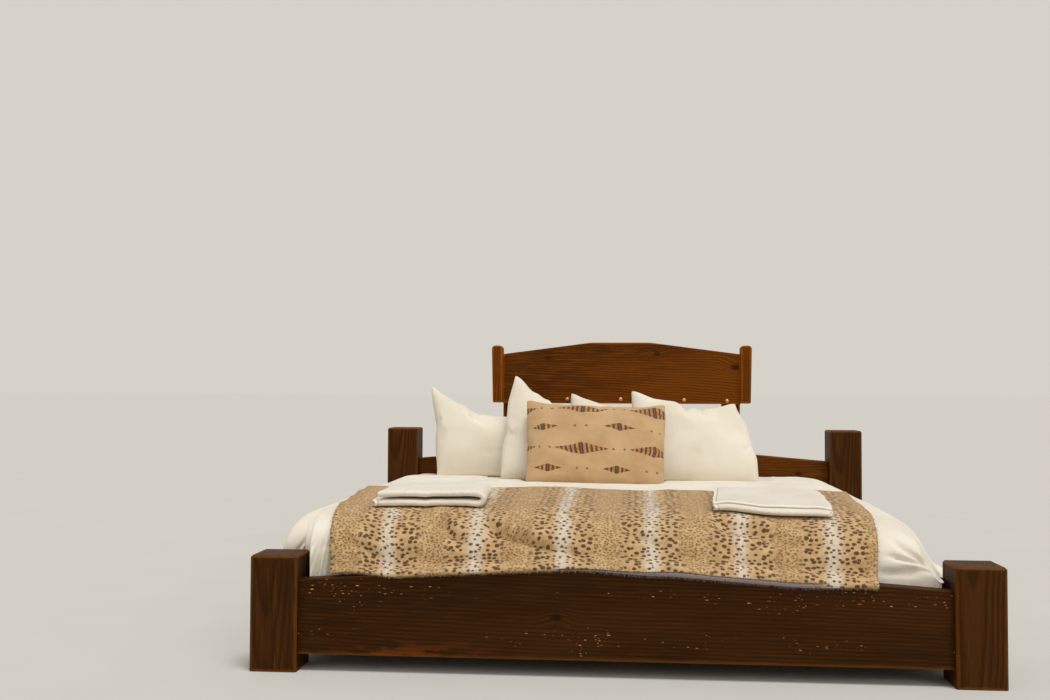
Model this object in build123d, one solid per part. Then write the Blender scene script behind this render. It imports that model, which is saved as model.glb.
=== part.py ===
"""King platform bed built into the end of a wagon.

Four square posts carry full-sawn planks by stub tenons, slats on cleats carry the mattress,
and a crowned headboard stands on two legs behind the back board. X runs to the right as seen
from the foot, Y towards the head and Z up. The origin is on the floor under the middle.
"""
import os

from build123d import *

# Mattress and the room around it
mattress_width = 1930.0
mattress_length = 2030.0
mattress_height = 240.0
mattress_corner = 100.0
mattress_edge = 60.0
mattress_shift = 25.0
side_room = 35.0
foot_room = 25.0
head_room = 5.0

# Timber
post_side = 150.0
front_post_height = 361.0
rear_post_height = 689.0
post_chamfer = 6.0
plank = 50.0
plank_chamfer = 4.0
rail_setback = 22.0
rail_lift = 53.0
front_rail_height = 289.0
side_rail_height = 247.0
lower_rail_height = 197.0
back_board_bottom = 300.0
back_board_height = 295.0
crown_drop = 57.0
crown_round = 300.0
front_rail_flat = 310.0
back_board_flat = 640.0

# Stub tenons and their mortises
tenon_length = 30.0
tenon_thickness = 24.0
tenon_shoulder = 25.0
mortise_clearance = 0.5
mortise_spare_depth = 1.0

# Headboard
headboard_width = 1168.0
headboard_height = 301.0
headboard_bottom = 814.0
headboard_flat = 290.0
block_width = 54.0
block_height = 283.0
block_rise = 3.0
block_proud = 20.0
block_taper = 6.0
block_top_round = 18.0
block_foot_round = 9.0
leg_width = 89.0
leg_depth = 38.0
leg_bottom = 310.0
leg_top = 1000.0
leg_outset = 2.0
head_cleat_height = 64.0
head_cleat_rise = 16.0

# Deck under the mattress
cleat_width = 40.0
cleat_height = 60.0
beam_width = 50.0
beam_height = 100.0
foot_side = 90.0
foot_inset = 240.0
slat_count = 11
slat_width = 140.0
slat_thickness = 20.0
slat_end_gap = 3.0
deck_bottom = 160.0

# Bedding
soft_gap = 0.3
post_gap = 3.0
duvet_loft = 66.0
duvet_pressed = 42.0
duvet_overhang = 55.0
duvet_right_in = 15.0
duvet_foot_run = 540.0
duvet_hem = 215.0
left_shoulder = 130.0
nose_run = 200.0
nose_drop = 125.0
pillow_zone = 620.0
loft_run = 300.0
throw_thickness = 14.0
throw_left = 905.0
throw_right = 780.0
throw_rear_left = 990.0
throw_rear_right = 865.0
throw_reach = 900.0
throw_hem_drop = 26.0
pillow_edge = 16.0
pillow_shoulder = 1.15
towel_fold_inset = 8.0
towel_fold_round = 0.42

# Frame positions worked out from the sizes above
clear_half = mattress_width / 2 + side_room
outer_half = clear_half + post_side
depth = rail_setback + 2 * plank + foot_room + mattress_length + head_room + leg_depth
y_front = -depth / 2
y_back = depth / 2
y_rail_front = y_front + rail_setback
y_rail_back = y_rail_front + plank
y_mattress_front = y_rail_back + foot_room
y_mattress_back = y_mattress_front + mattress_length
y_board_front = y_mattress_back + head_room
y_board_back = y_board_front + plank
y_side_front = y_front + post_side
y_side_back = y_back - post_side
deck_top = deck_bottom + slat_thickness
mattress_bottom = deck_top + soft_gap
mattress_top = mattress_bottom + mattress_height
duvet_bottom = mattress_top + soft_gap
duvet_top = duvet_bottom + duvet_loft
duvet_rest = duvet_bottom + duvet_pressed
duvet_front = y_rail_back + soft_gap
duvet_back = y_board_front - soft_gap
duvet_half = clear_half + plank + duvet_overhang
duvet_right = duvet_half - duvet_right_in
mattress_left = -mattress_width / 2 - mattress_shift
mattress_right = mattress_width / 2 - mattress_shift
side_rail_top = rail_lift + side_rail_height


def block(x0, x1, y0, y1, z0, z1):
    """A plain box between two corners."""
    size = Box(x1 - x0, y1 - y0, z1 - z0)
    return Pos((x0 + x1) / 2, (y0 + y1) / 2, (z0 + z1) / 2) * size


def across(outline, y0, y1):
    """An outline drawn in X and Z, made solid from y0 to y1."""
    return extrude(Plane.XZ.offset(-y1) * outline, amount=y1 - y0)


def along(outline, x0, x1):
    """An outline drawn in Y and Z, made solid from x0 to x1."""
    return extrude(Plane.YZ.offset(x0) * outline, amount=x1 - x0)


def polygon(*points):
    """A flat face inside straight lines through the points."""
    return make_face(Polyline(*points, close=True))


def crowned(length, flat, bottom, top, drop=crown_drop):
    """The outline of a plank whose top falls away from a flat middle to both ends."""
    half = length / 2
    outline = polygon(
        (-half, bottom),
        (half, bottom),
        (half, top - drop),
        (flat / 2, top),
        (-flat / 2, top),
        (-half, top - drop),
    )
    return fillet(outline.vertices().group_by(Axis.Y)[-1], crown_round)


def eased(solid, size, axis):
    """The solid with its long edges, parallel to the axis, taken off by a small chamfer."""
    return chamfer(solid.edges().filter_by(axis), size)


def tenon_range(bottom, end_top):
    """The heights between which a plank's tenon stands."""
    return bottom + tenon_shoulder, end_top - tenon_shoulder


def cross_tenon(y0, bottom, end_top, grow=0.0, spare=0.0):
    """One tenon through both ends of a plank that runs in X and is held between the posts."""
    low, high = tenon_range(bottom, end_top)
    reach = clear_half + tenon_length + spare
    middle = y0 + plank / 2
    half = tenon_thickness / 2 + grow
    return block(-reach, reach, middle - half, middle + half, low - grow, high + grow)


def side_tenon(side, grow=0.0, spare=0.0):
    """One tenon through both ends of a side rail."""
    low, high = tenon_range(rail_lift, side_rail_top)
    middle = side * (clear_half + plank / 2)
    half = tenon_thickness / 2 + grow
    y0 = y_side_front - tenon_length - spare
    y1 = y_side_back + tenon_length + spare
    return block(middle - half, middle + half, y0, y1, low - grow, high + grow)


# Planks between the posts: front face, bottom, crown top, drop at the ends, flat of the crown
cross_planks = {
    "front_rail": (y_rail_front, rail_lift, rail_lift + front_rail_height, crown_drop, front_rail_flat),
    "lower_back_rail": (y_board_front, rail_lift, rail_lift + lower_rail_height, 0.0, 0.0),
    "back_board": (
        y_board_front,
        back_board_bottom,
        back_board_bottom + back_board_height,
        crown_drop,
        back_board_flat,
    ),
}


def cross_plank(name):
    """A plank across the bed, with a stub tenon at each end."""
    y0, bottom, top, drop, flat = cross_planks[name]
    if drop:
        outline = crowned(2 * clear_half, flat, bottom, top, drop)
    else:
        outline = polygon(
            (-clear_half, bottom), (clear_half, bottom), (clear_half, top), (-clear_half, top)
        )
    board = across(outline, y0, y0 + plank)
    front_edges = board.faces().sort_by(Axis.Y)[0].edges().filter_by(Plane.XZ)
    upper = front_edges.filter_by(lambda edge: edge.center().Z > bottom + (top - bottom) / 2)
    long_edges = upper.filter_by(lambda edge: abs(edge.center().X) < clear_half - 1)
    board = chamfer(long_edges, plank_chamfer)
    return board + cross_tenon(y0, bottom, top - drop)


def side_rail(side):
    """A side rail between a front and a rear post."""
    x0, x1 = sorted((side * clear_half, side * (clear_half + plank)))
    rail = eased(block(x0, x1, y_side_front, y_side_back, rail_lift, side_rail_top), plank_chamfer, Axis.Y)
    return rail + side_tenon(side)


def post(side, y0, height, planks):
    """A square post with eased edges and a mortise for each plank that it carries."""
    x0, x1 = sorted((side * clear_half, side * outer_half))
    body = block(x0, x1, y0, y0 + post_side, 0, height)
    body = eased(body, post_chamfer, Axis.Z)
    body = chamfer(body.faces().sort_by(Axis.Z)[-1].edges(), post_chamfer)
    for name in planks:
        front, bottom, top, drop, _ = cross_planks[name]
        body -= cross_tenon(front, bottom, top - drop, mortise_clearance, mortise_spare_depth)
    return body - side_tenon(side, mortise_clearance, mortise_spare_depth)


# Headboard
def headboard_panel():
    """The crowned plank of the headboard."""
    top = headboard_bottom + headboard_height
    outline = crowned(headboard_width, headboard_flat, headboard_bottom, top)
    board = across(outline, y_board_front, y_board_back)
    front_edges = board.faces().sort_by(Axis.Y)[0].edges()
    upper = front_edges.filter_by(lambda edge: edge.center().Z > top - crown_drop)
    return chamfer(upper, plank_chamfer)


def headboard_block(side):
    """An end block that closes the plank's end grain, round-topped and a little narrower below."""
    inner = side * headboard_width / 2
    outer = inner + side * block_width
    foot = outer - side * block_taper
    low = headboard_bottom + block_rise
    high = low + block_height
    outline = polygon((inner, low), (foot, low), (outer, high), (inner, high))
    outline = fillet(outline.vertices().group_by(Axis.Y)[-1], block_top_round)
    outline = fillet(outline.vertices().sort_by(Axis.Y)[0:2], block_foot_round)
    body = across(outline, y_board_front - block_proud, y_board_back)
    return chamfer(body.faces().sort_by(Axis.Y)[0].edges(), plank_chamfer)


def headboard_leg(side):
    """A leg behind the back board and the headboard, which it carries."""
    outer = headboard_width / 2 + leg_outset
    x0, x1 = sorted((side * outer, side * (outer - leg_width)))
    return eased(block(x0, x1, y_board_back, y_back, leg_bottom, leg_top), post_chamfer / 2, Axis.Z)


def headboard_cleat():
    """A batten between the legs, along the lower edge of the headboard."""
    half = headboard_width / 2 + leg_outset - leg_width
    z0 = headboard_bottom + head_cleat_rise
    return block(-half, half, y_board_back, y_back, z0, z0 + head_cleat_height)


# Deck
def side_cleat(side):
    """A batten on a side rail that carries the ends of the slats."""
    x0, x1 = sorted((side * clear_half, side * (clear_half - cleat_width)))
    return block(x0, x1, y_rail_back, y_board_front, deck_bottom - cleat_height, deck_bottom)


def centre_beam():
    """A beam from the front rail to the lower back rail, under the middle of the slats."""
    half = beam_width / 2
    return block(-half, half, y_rail_back, y_board_front, deck_bottom - beam_height, deck_bottom)


def centre_feet():
    """Three blocks that stand the beam on the floor."""
    half = foot_side / 2
    first = y_rail_back + foot_inset
    step = (y_board_front - foot_inset - first) / 2
    rows = [first + step * row for row in range(3)]
    feet = [block(-half, half, y - half, y + half, 0, deck_bottom - beam_height) for y in rows]
    return Compound(children=feet)


def deck_slats():
    """Boards laid across the cleats and the beam, evenly spaced."""
    half = clear_half - slat_end_gap
    first = y_mattress_front
    step = (y_mattress_back - slat_width - first) / (slat_count - 1)
    rows = [first + step * row for row in range(slat_count)]
    slats = [block(-half, half, y, y + slat_width, deck_bottom, deck_top) for y in rows]
    return Compound(children=slats)


# Bedding
def mattress():
    """A king mattress with rounded corners and edges, pushed over to the left."""
    body = block(
        mattress_left, mattress_right, y_mattress_front, y_mattress_back, mattress_bottom, mattress_top
    )
    body = fillet(body.edges().filter_by(Axis.Z), mattress_corner)
    rims = [body.faces().sort_by(Axis.Z)[place].edges() for place in (0, -1)]
    return fillet(rims[0] + rims[1], mattress_edge)


# The duvet's right side, as steps in from its outer edge and up from its hem: full at the
# middle of the bed, and at the foot drawn in and laid low over the side rail
right_full = ((0, 36), (13, 108), (46, 178), (100, 226), (170, 258), (260, 271.6))
right_foot = ((0, 78), (40, 94), (105, 114), (145, 172), (182, 232), (260, 262), (355, 271.6))


def duvet_section(y, right_side, grow):
    """The duvet's outline across the bed at a place along it."""
    top = duvet_top + grow
    left = -duvet_half - grow
    steps = [(duvet_right - inwards, duvet_hem + rise + grow) for inwards, rise in right_side]
    shoulder = Spline(*steps[:-1], (steps[-1][0], top), tangents=((0, 1), (-1, 0)))
    rest = Polyline((steps[-1][0], top), (left, top), (left, duvet_hem), (duvet_right, duvet_hem), steps[0])
    outline = make_face([shoulder, *rest.edges()])
    corners = [v for v in outline.vertices() if v.X < left + 1 and v.Y > top - 1]
    return Plane.XZ.offset(-y) * fillet(corners, left_shoulder + grow)


def bedding_side(grow):
    """The duvet's outline from the side, in Y and Z, grown outwards: a blunt nose at the foot."""
    front = duvet_front - grow
    top = duvet_top + grow
    rest = duvet_rest + grow
    nose = EllipticalCenterArc(
        (front + nose_run, top - nose_drop), nose_run, nose_drop, start_angle=90, arc_size=90
    )
    edge = Polyline(
        (front, top - nose_drop),
        (front, duvet_hem),
        (duvet_back, duvet_hem),
        (duvet_back, rest),
        (duvet_back - pillow_zone, rest),
        (duvet_back - pillow_zone - loft_run, top),
        (front + nose_run, top),
    )
    return make_face([nose, *edge.edges()])


def duvet_form(grow=0.0):
    """The outside of the duvet as one lump, grown outwards by a little."""
    middle = duvet_front + duvet_foot_run
    foot = duvet_section(duvet_front - grow, right_foot, grow)
    full = duvet_section(middle, right_full, grow)
    head = duvet_section(duvet_back, right_full, grow)
    body = loft([foot, full], ruled=True) + loft([full, head], ruled=True)
    return body & along(bedding_side(grow), -outer_half, outer_half)


def duvet():
    """The duvet, puffed over the mattress, hung over the side rails and tucked in at the foot."""
    rail_half = clear_half + plank + soft_gap
    rail_top = side_rail_top + soft_gap
    left = mattress_left - soft_gap
    right = mattress_right + soft_gap
    across_bed = polygon(
        (-rail_half, 0),
        (-rail_half, rail_top),
        (left, rail_top),
        (left, duvet_bottom),
        (right, duvet_bottom),
        (right, rail_top),
        (rail_half, rail_top),
        (rail_half, 0),
    )
    across_bed = fillet(across_bed.vertices().group_by(Axis.Y)[-1], mattress_edge)
    front = y_mattress_front - soft_gap
    along_bed = polygon((front, 0), (y_back, 0), (y_back, duvet_bottom), (front, duvet_bottom))
    along_bed = fillet(along_bed.vertices().group_by(Axis.Y)[-1].sort_by(Axis.X)[0], mattress_edge)
    inside = across(across_bed, front, y_back) & along(along_bed, -outer_half, outer_half)
    body = duvet_form() - inside
    for side in (-1, 1):
        x0, x1 = sorted((side * (clear_half - post_gap), side * (outer_half + post_gap)))
        body -= block(x0, x1, y_front, y_side_front + post_gap, 0, rear_post_height)
        body -= block(x0, x1, y_side_back - post_gap, y_back, 0, rear_post_height)
    return body


def bed_throw():
    """The spotted throw over the foot of the bed and the front rail's crown."""
    near = y_rail_front - soft_gap - throw_thickness
    far = duvet_front + throw_reach
    shell = duvet_form(soft_gap + throw_thickness) - duvet_form(soft_gap)
    crown = rail_lift + front_rail_height
    upper = crowned(2 * clear_half, front_rail_flat, 0, crown + soft_gap + throw_thickness)
    under = crowned(2 * clear_half, front_rail_flat, 0, crown + soft_gap)
    hem = crowned(2 * clear_half, front_rail_flat, 0, crown - throw_hem_drop)
    shell -= across(under, near, y_rail_back)
    lap = across(upper, near, y_rail_back) - across(under, y_rail_front - soft_gap, y_rail_back)
    lap -= across(hem, near, y_rail_back)
    plan = polygon(
        (-throw_left, near),
        (throw_right, near),
        (throw_rear_right, far),
        (-throw_rear_left, far),
    )
    return (shell + lap) & extrude(plan, amount=duvet_top + 2 * throw_thickness)


# Pillows: width, height, thickness, centre in X, lean from upright, roll, distance of the
# centre in front of the back board
pillows = {
    "pillow_left_back": (660.0, 430.0, 164.0, -590.0, 18.0, 1.0, 119.0),
    "pillow_middle_back": (570.0, 420.0, 164.0, 42.0, 18.0, 2.0, 101.0),
    "pillow_left_front": (610.0, 470.0, 160.0, -272.0, 26.0, 2.0, 284.0),
    "pillow_right_front": (610.0, 430.0, 160.0, 352.0, 26.0, 2.0, 284.0),
    "lumbar_pillow": (610.0, 410.0, 130.0, -125.0, 34.0, 2.0, 476.0),
}


def lens(length, thickness):
    """The outline of a stuffed case cut through the middle, blunt at both ends."""
    half = length / 2
    edge = pillow_edge / 2
    bulge = thickness / 2
    upper = ThreePointArc((-half, edge), (0, bulge), (half, edge))
    lower = ThreePointArc((-half, -edge), (0, -bulge), (half, -edge))
    ends = [Line((x, -edge), (x, edge)) for x in (-half, half)]
    return make_face([upper, lower, *ends])


def pillow(name):
    """A stuffed pillow that leans back with its lower edge on the duvet."""
    width, height, thickness, x, lean, roll, distance = pillows[name]
    upright = extrude(lens(width, thickness), amount=height / 2, both=True)
    profile = Plane.YZ * Rot(0, 0, 90) * lens(height, thickness * pillow_shoulder)
    sideways = extrude(profile, amount=width / 2, both=True)
    case = Rot(-lean, 0, 0) * Rot(0, roll, 0) * (upright & sideways)
    seat = duvet_rest + soft_gap - case.bounding_box().min.Z
    return Pos(x, y_board_front - distance, seat) * case


# Towels: width, length, layers, thickness of a layer, corner in X and in Y from the duvet's
# front, turn in degrees
towels = {
    "towel_left": (390.0, 300.0, 2, 26.0, -812.0, 130.0, 3.0),
    "towel_right": (380.0, 560.0, 2, 18.0, 296.0, 125.0, -5.0),
}


def towel(name):
    """A folded towel: flat layers with round folds at the near edge."""
    width, length, layers, thickness, x, y, turn = towels[name]
    folds = Sketch()
    for layer in range(layers):
        inset = layer * towel_fold_inset
        low = layer * thickness
        high = low + thickness
        strip = polygon((inset, low), (length, low), (length, high), (inset, high))
        near = strip.vertices().sort_by(Axis.X)[0:2]
        folds += fillet(near, thickness * towel_fold_round)
    body = along(folds, 0, width)
    top = duvet_top + throw_thickness + 2 * soft_gap
    return Pos(x, duvet_front + y, top) * Rot(0, 0, turn) * body


def build():
    """Every piece by its node's name."""
    front = (y_front, front_post_height, ["front_rail"])
    rear = (y_side_back, rear_post_height, ["lower_back_rail", "back_board"])
    nodes = {name: cross_plank(name) for name in cross_planks}
    for side, word in ((-1, "left"), (1, "right")):
        nodes[f"post_front_{word}"] = post(side, *front)
        nodes[f"post_rear_{word}"] = post(side, *rear)
        nodes[f"side_rail_{word}"] = side_rail(side)
        nodes[f"side_cleat_{word}"] = side_cleat(side)
        nodes[f"headboard_block_{word}"] = headboard_block(side)
        nodes[f"headboard_leg_{word}"] = headboard_leg(side)
    nodes["headboard_panel"] = headboard_panel()
    nodes["headboard_cleat"] = headboard_cleat()
    nodes["centre_beam"] = centre_beam()
    nodes["centre_feet"] = centre_feet()
    nodes["deck_slats"] = deck_slats()
    nodes["mattress"] = mattress()
    nodes["duvet"] = duvet()
    nodes["bed_throw"] = bed_throw()
    nodes.update({name: pillow(name) for name in pillows})
    nodes.update({name: towel(name) for name in towels})
    return nodes


os.makedirs("parts", exist_ok=True)
for node, shape in build().items():
    export_step(shape, f"parts/{node}.step")
    print(f"{node:22s} {shape.volume / 1e6:9.3f} litres")
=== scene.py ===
"""Looks of a king platform bed built into a wagon: stained timber, bedding, a spotted throw."""
import math
import random

import bmesh
import bpy
from mathutils import Matrix, Vector, noise
from mathutils.bvhtree import BVHTree


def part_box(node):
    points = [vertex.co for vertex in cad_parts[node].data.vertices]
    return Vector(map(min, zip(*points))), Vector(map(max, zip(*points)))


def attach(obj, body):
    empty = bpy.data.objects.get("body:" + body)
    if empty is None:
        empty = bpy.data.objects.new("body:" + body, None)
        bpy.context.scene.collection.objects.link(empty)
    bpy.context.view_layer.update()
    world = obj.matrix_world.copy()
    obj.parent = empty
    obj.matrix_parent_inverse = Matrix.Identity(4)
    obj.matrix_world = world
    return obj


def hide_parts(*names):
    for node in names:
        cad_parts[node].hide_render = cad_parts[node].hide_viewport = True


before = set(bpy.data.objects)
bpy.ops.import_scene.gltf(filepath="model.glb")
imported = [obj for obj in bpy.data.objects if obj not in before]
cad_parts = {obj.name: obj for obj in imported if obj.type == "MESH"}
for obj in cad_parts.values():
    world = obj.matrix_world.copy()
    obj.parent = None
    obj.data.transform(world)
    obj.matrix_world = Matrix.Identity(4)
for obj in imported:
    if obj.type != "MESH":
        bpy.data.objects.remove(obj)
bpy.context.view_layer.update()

boxes = {node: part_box(node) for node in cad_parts}
scene = bpy.context.scene
rng = random.Random(11)


def srgb(red, green, blue):
    """A colour written as 0 to 255 screen values, as the linear values that a shader takes."""
    levels = [value / 255 for value in (red, green, blue)]
    linear = [v / 12.92 if v < 0.04045 else ((v + 0.055) / 1.055) ** 2.4 for v in levels]
    return (*linear, 1.0)


# Shader expressions
class Field:
    """A socket that varies over the surface: every operator adds a Math node."""

    def __init__(self, finish, socket):
        self.finish = finish
        self.socket = socket

    def math(self, operation, *others):
        values = dict(enumerate((self, *others)))
        return self.finish.node("ShaderNodeMath", {"operation": operation}, values)

    def __add__(self, other):
        return self.math("ADD", other)

    def __sub__(self, other):
        return self.math("SUBTRACT", other)

    def __rsub__(self, other):
        return self.math("MULTIPLY_ADD", -1.0, other)

    def __mul__(self, other):
        return self.math("MULTIPLY", other)

    def __truediv__(self, other):
        return self.math("DIVIDE", other)

    def __pow__(self, other):
        return self.math("POWER", other)

    __radd__ = __add__
    __rmul__ = __mul__

    def sine(self):
        return self.math("SINE")

    def size(self):
        return self.math("ABSOLUTE")

    def above(self, low, high):
        """0 below low, 1 above high and a smooth step between."""
        values = {"Value": self, "From Min": low, "From Max": high}
        return self.finish.node("ShaderNodeMapRange", {"interpolation_type": "SMOOTHSTEP"}, values)

    def below(self, low, high):
        return 1 - self.above(low, high)


class Finish:
    """A material, or the sky, and the nodes that make it."""

    def __init__(self, name, owner=None):
        self.owner = owner or bpy.data.materials.new(name)
        self.owner.use_nodes = True
        self.tree = self.owner.node_tree
        self.tree.nodes.clear()

    def node(self, kind, settings=None, values=None, output=0):
        """Adds a node: its settings first, then the values or links of its sockets."""
        made = self.tree.nodes.new(kind)
        for key, value in (settings or {}).items():
            setattr(made, key, value)
        for key, value in (values or {}).items():
            if isinstance(value, Field):
                self.tree.links.new(value.socket, made.inputs[key])
            else:
                made.inputs[key].default_value = value
        return Field(self, made.outputs[output])

    def place(self, scale=(1, 1, 1), shift=(0, 0, 0), source="Object"):
        """Object coordinates, or the piece's UV map, moved and scaled."""
        coordinates = self.node("ShaderNodeTexCoord", output=source)
        values = {"Vector": coordinates, "Location": shift, "Scale": scale}
        return self.node("ShaderNodeMapping", {"vector_type": "POINT"}, values)

    def split(self, vector):
        """The three numbers of a vector."""
        return [self.node("ShaderNodeSeparateXYZ", {}, {0: vector}, axis) for axis in range(3)]

    def join(self, x, y, z=0.0):
        return self.node("ShaderNodeCombineXYZ", {}, {0: x, 1: y, 2: z})

    def noise(self, vector, scale, detail=3.0, rough=0.55, warp=0.0):
        values = {
            "Vector": vector, "Scale": scale, "Detail": detail,
            "Roughness": rough, "Distortion": warp,
        }
        return self.node("ShaderNodeTexNoise", {}, values)

    def grain(self, x, y, z=0.0, detail=3.0, rough=0.55, warp=0.0):
        """Noise over coordinates that are already scaled."""
        return self.noise(self.join(x, y, z), 1.0, detail, rough, warp)

    def cells(self, vector, scale, spread=1.0, output="Distance"):
        """Flat cells: how far the nearest cell's point is, or that cell's colour."""
        values = {"Vector": vector, "Scale": scale, "Randomness": spread}
        return self.node("ShaderNodeTexVoronoi", {"voronoi_dimensions": "2D"}, values, output)

    def mix(self, amount, first, second):
        """A colour between two others."""
        settings = {"data_type": "RGBA", "clamp_factor": True}
        return self.node("ShaderNodeMix", settings, {0: amount, 6: first, 7: second}, 2)

    def bump(self, height, distance, strength=1.0):
        values = {"Height": height, "Distance": distance, "Strength": strength}
        return self.node("ShaderNodeBump", {}, values)

    def close(self, shader, kind="ShaderNodeOutputMaterial"):
        """Joins the last shader to the output."""
        out = self.tree.nodes.new(kind)
        self.tree.links.new(shader.socket, out.inputs["Surface"])
        return self.owner

    def surface(self, **values):
        """The shader that closes the material. Names are the sockets', with _ for a space."""
        named = {key.replace("_", " "): value for key, value in values.items()}
        return self.close(self.node("ShaderNodeBsdfPrincipled", {}, named))


def meshed(bm, name, material):
    """An object made from a bmesh, with one material."""
    mesh = bpy.data.meshes.new(name)
    bm.to_mesh(mesh)
    bm.free()
    mesh.materials.append(material)
    piece = bpy.data.objects.new(name, mesh)
    scene.collection.objects.link(piece)
    return piece


# Camera, at the photograph's viewing angle
camera = bpy.data.objects.new("camera", bpy.data.cameras.new("camera"))
scene.collection.objects.link(camera)
camera.data.sensor_width = 36
camera.data.lens = 38.97
aim = Matrix.Rotation(0.0872, 4, "Z") @ Matrix.Rotation(math.pi / 2 + 0.0338, 4, "X")
place = Matrix.Translation((0.018, -4.605, 0.887))
camera.matrix_world = place @ aim @ Matrix.Rotation(0.0038, 4, "Z")
scene.camera = camera

# Studio: a pale floor, soft lamps from above and a plain sky
scene.view_settings.view_transform = "Standard"
floor_finish = Finish("studio_floor")
floor_tone = floor_finish.noise(floor_finish.place(), 3.0)
floor_colour = floor_finish.mix(floor_tone, srgb(206, 203, 197), srgb(212, 209, 203))
ground = bmesh.new()
bmesh.ops.create_grid(ground, x_segments=1, y_segments=1, size=150)
floor = meshed(ground, "floor", floor_finish.surface(Base_Color=floor_colour, Roughness=0.9))


def lamp(name, strength, spread, tilt, heading):
    """A broad sun lamp: tilt from straight down and heading round the bed, in degrees."""
    light = bpy.data.lights.new(name, "SUN")
    light.energy = strength
    light.angle = math.radians(spread)
    made = bpy.data.objects.new(name, light)
    turned = Matrix.Rotation(math.radians(heading), 4, "Z")
    made.matrix_world = turned @ Matrix.Rotation(math.radians(tilt), 4, "X")
    scene.collection.objects.link(made)


lamp("overhead_lamp", 1.74, 24, 16, 34)
lamp("front_lamp", 0.5, 34, 60, 40)
lamp("side_lamp", 0.2, 50, 60, -30)

scene.world = bpy.data.worlds.new("studio")
sky = Finish("sky", scene.world)
seen = sky.node("ShaderNodeLightPath", output="Is Camera Ray")
for ray in ("Is Glossy Ray", "Is Transmission Ray"):
    seen = seen.math("MAXIMUM", sky.node("ShaderNodeLightPath", output=ray))
ambient = sky.node("ShaderNodeBackground", {}, {"Color": (1.0, 0.945, 0.87, 1), "Strength": 0.36})
backdrop = sky.node("ShaderNodeBackground", {}, {"Color": srgb(214, 209, 201)})
blend = sky.node("ShaderNodeMixShader", {}, {0: seen, 1: ambient, 2: backdrop})
sky.close(blend, "ShaderNodeOutputWorld")


# Timber
def tinted(colour, strength):
    """A linear colour made lighter or darker."""
    return (*(min(1.0, level * strength) for level in colour[:3]), 1.0)


def chipped(finish, colour, height, axes, bend, swirl, scuff):
    """Flakes of stain lost in bands along the grain, and a rubbed red patch at the lower left."""
    run, rise = axes
    crowd = finish.grain(run * 3.1, 0.0, rise * 9)
    high_band = (rise - 0.055 + bend * 0.03).size().below(0.0, 0.045) * 0.16
    low_band = (rise + 0.085 - bend * 0.03).size().below(0.0, 0.05) * 0.12
    for pitch, stretch, widest in ((66.0, 3.0, 0.09), (124.0, 3.4, 0.16)):
        grid = finish.join(run * pitch / stretch + swirl * 1.5, rise * pitch)
        speck = finish.cells(grid, 1.0)
        draw = finish.split(finish.cells(grid, 1.0, output="Color"))
        chosen = (crowd + high_band + low_band - 0.73 + draw[0] * 0.32).above(0.16, 0.18)
        reach = draw[1] * draw[1] * widest + 0.03
        hit = (speck + (scuff - 0.5) * 0.26 - reach).below(-0.02, 0.02) * chosen
        bare = finish.mix(draw[2], srgb(108, 58, 24), srgb(204, 140, 84))
        colour = finish.mix(hit, colour, bare)
        height = height - hit * 1.2
    rub = (run + 0.62 + bend * 0.3).size().below(0.0, 0.34) * (rise + 0.11).below(-0.03, 0.03)
    return finish.mix(rub * scuff.above(0.45, 0.6) * 0.55, colour, srgb(122, 58, 18)), height


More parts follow.
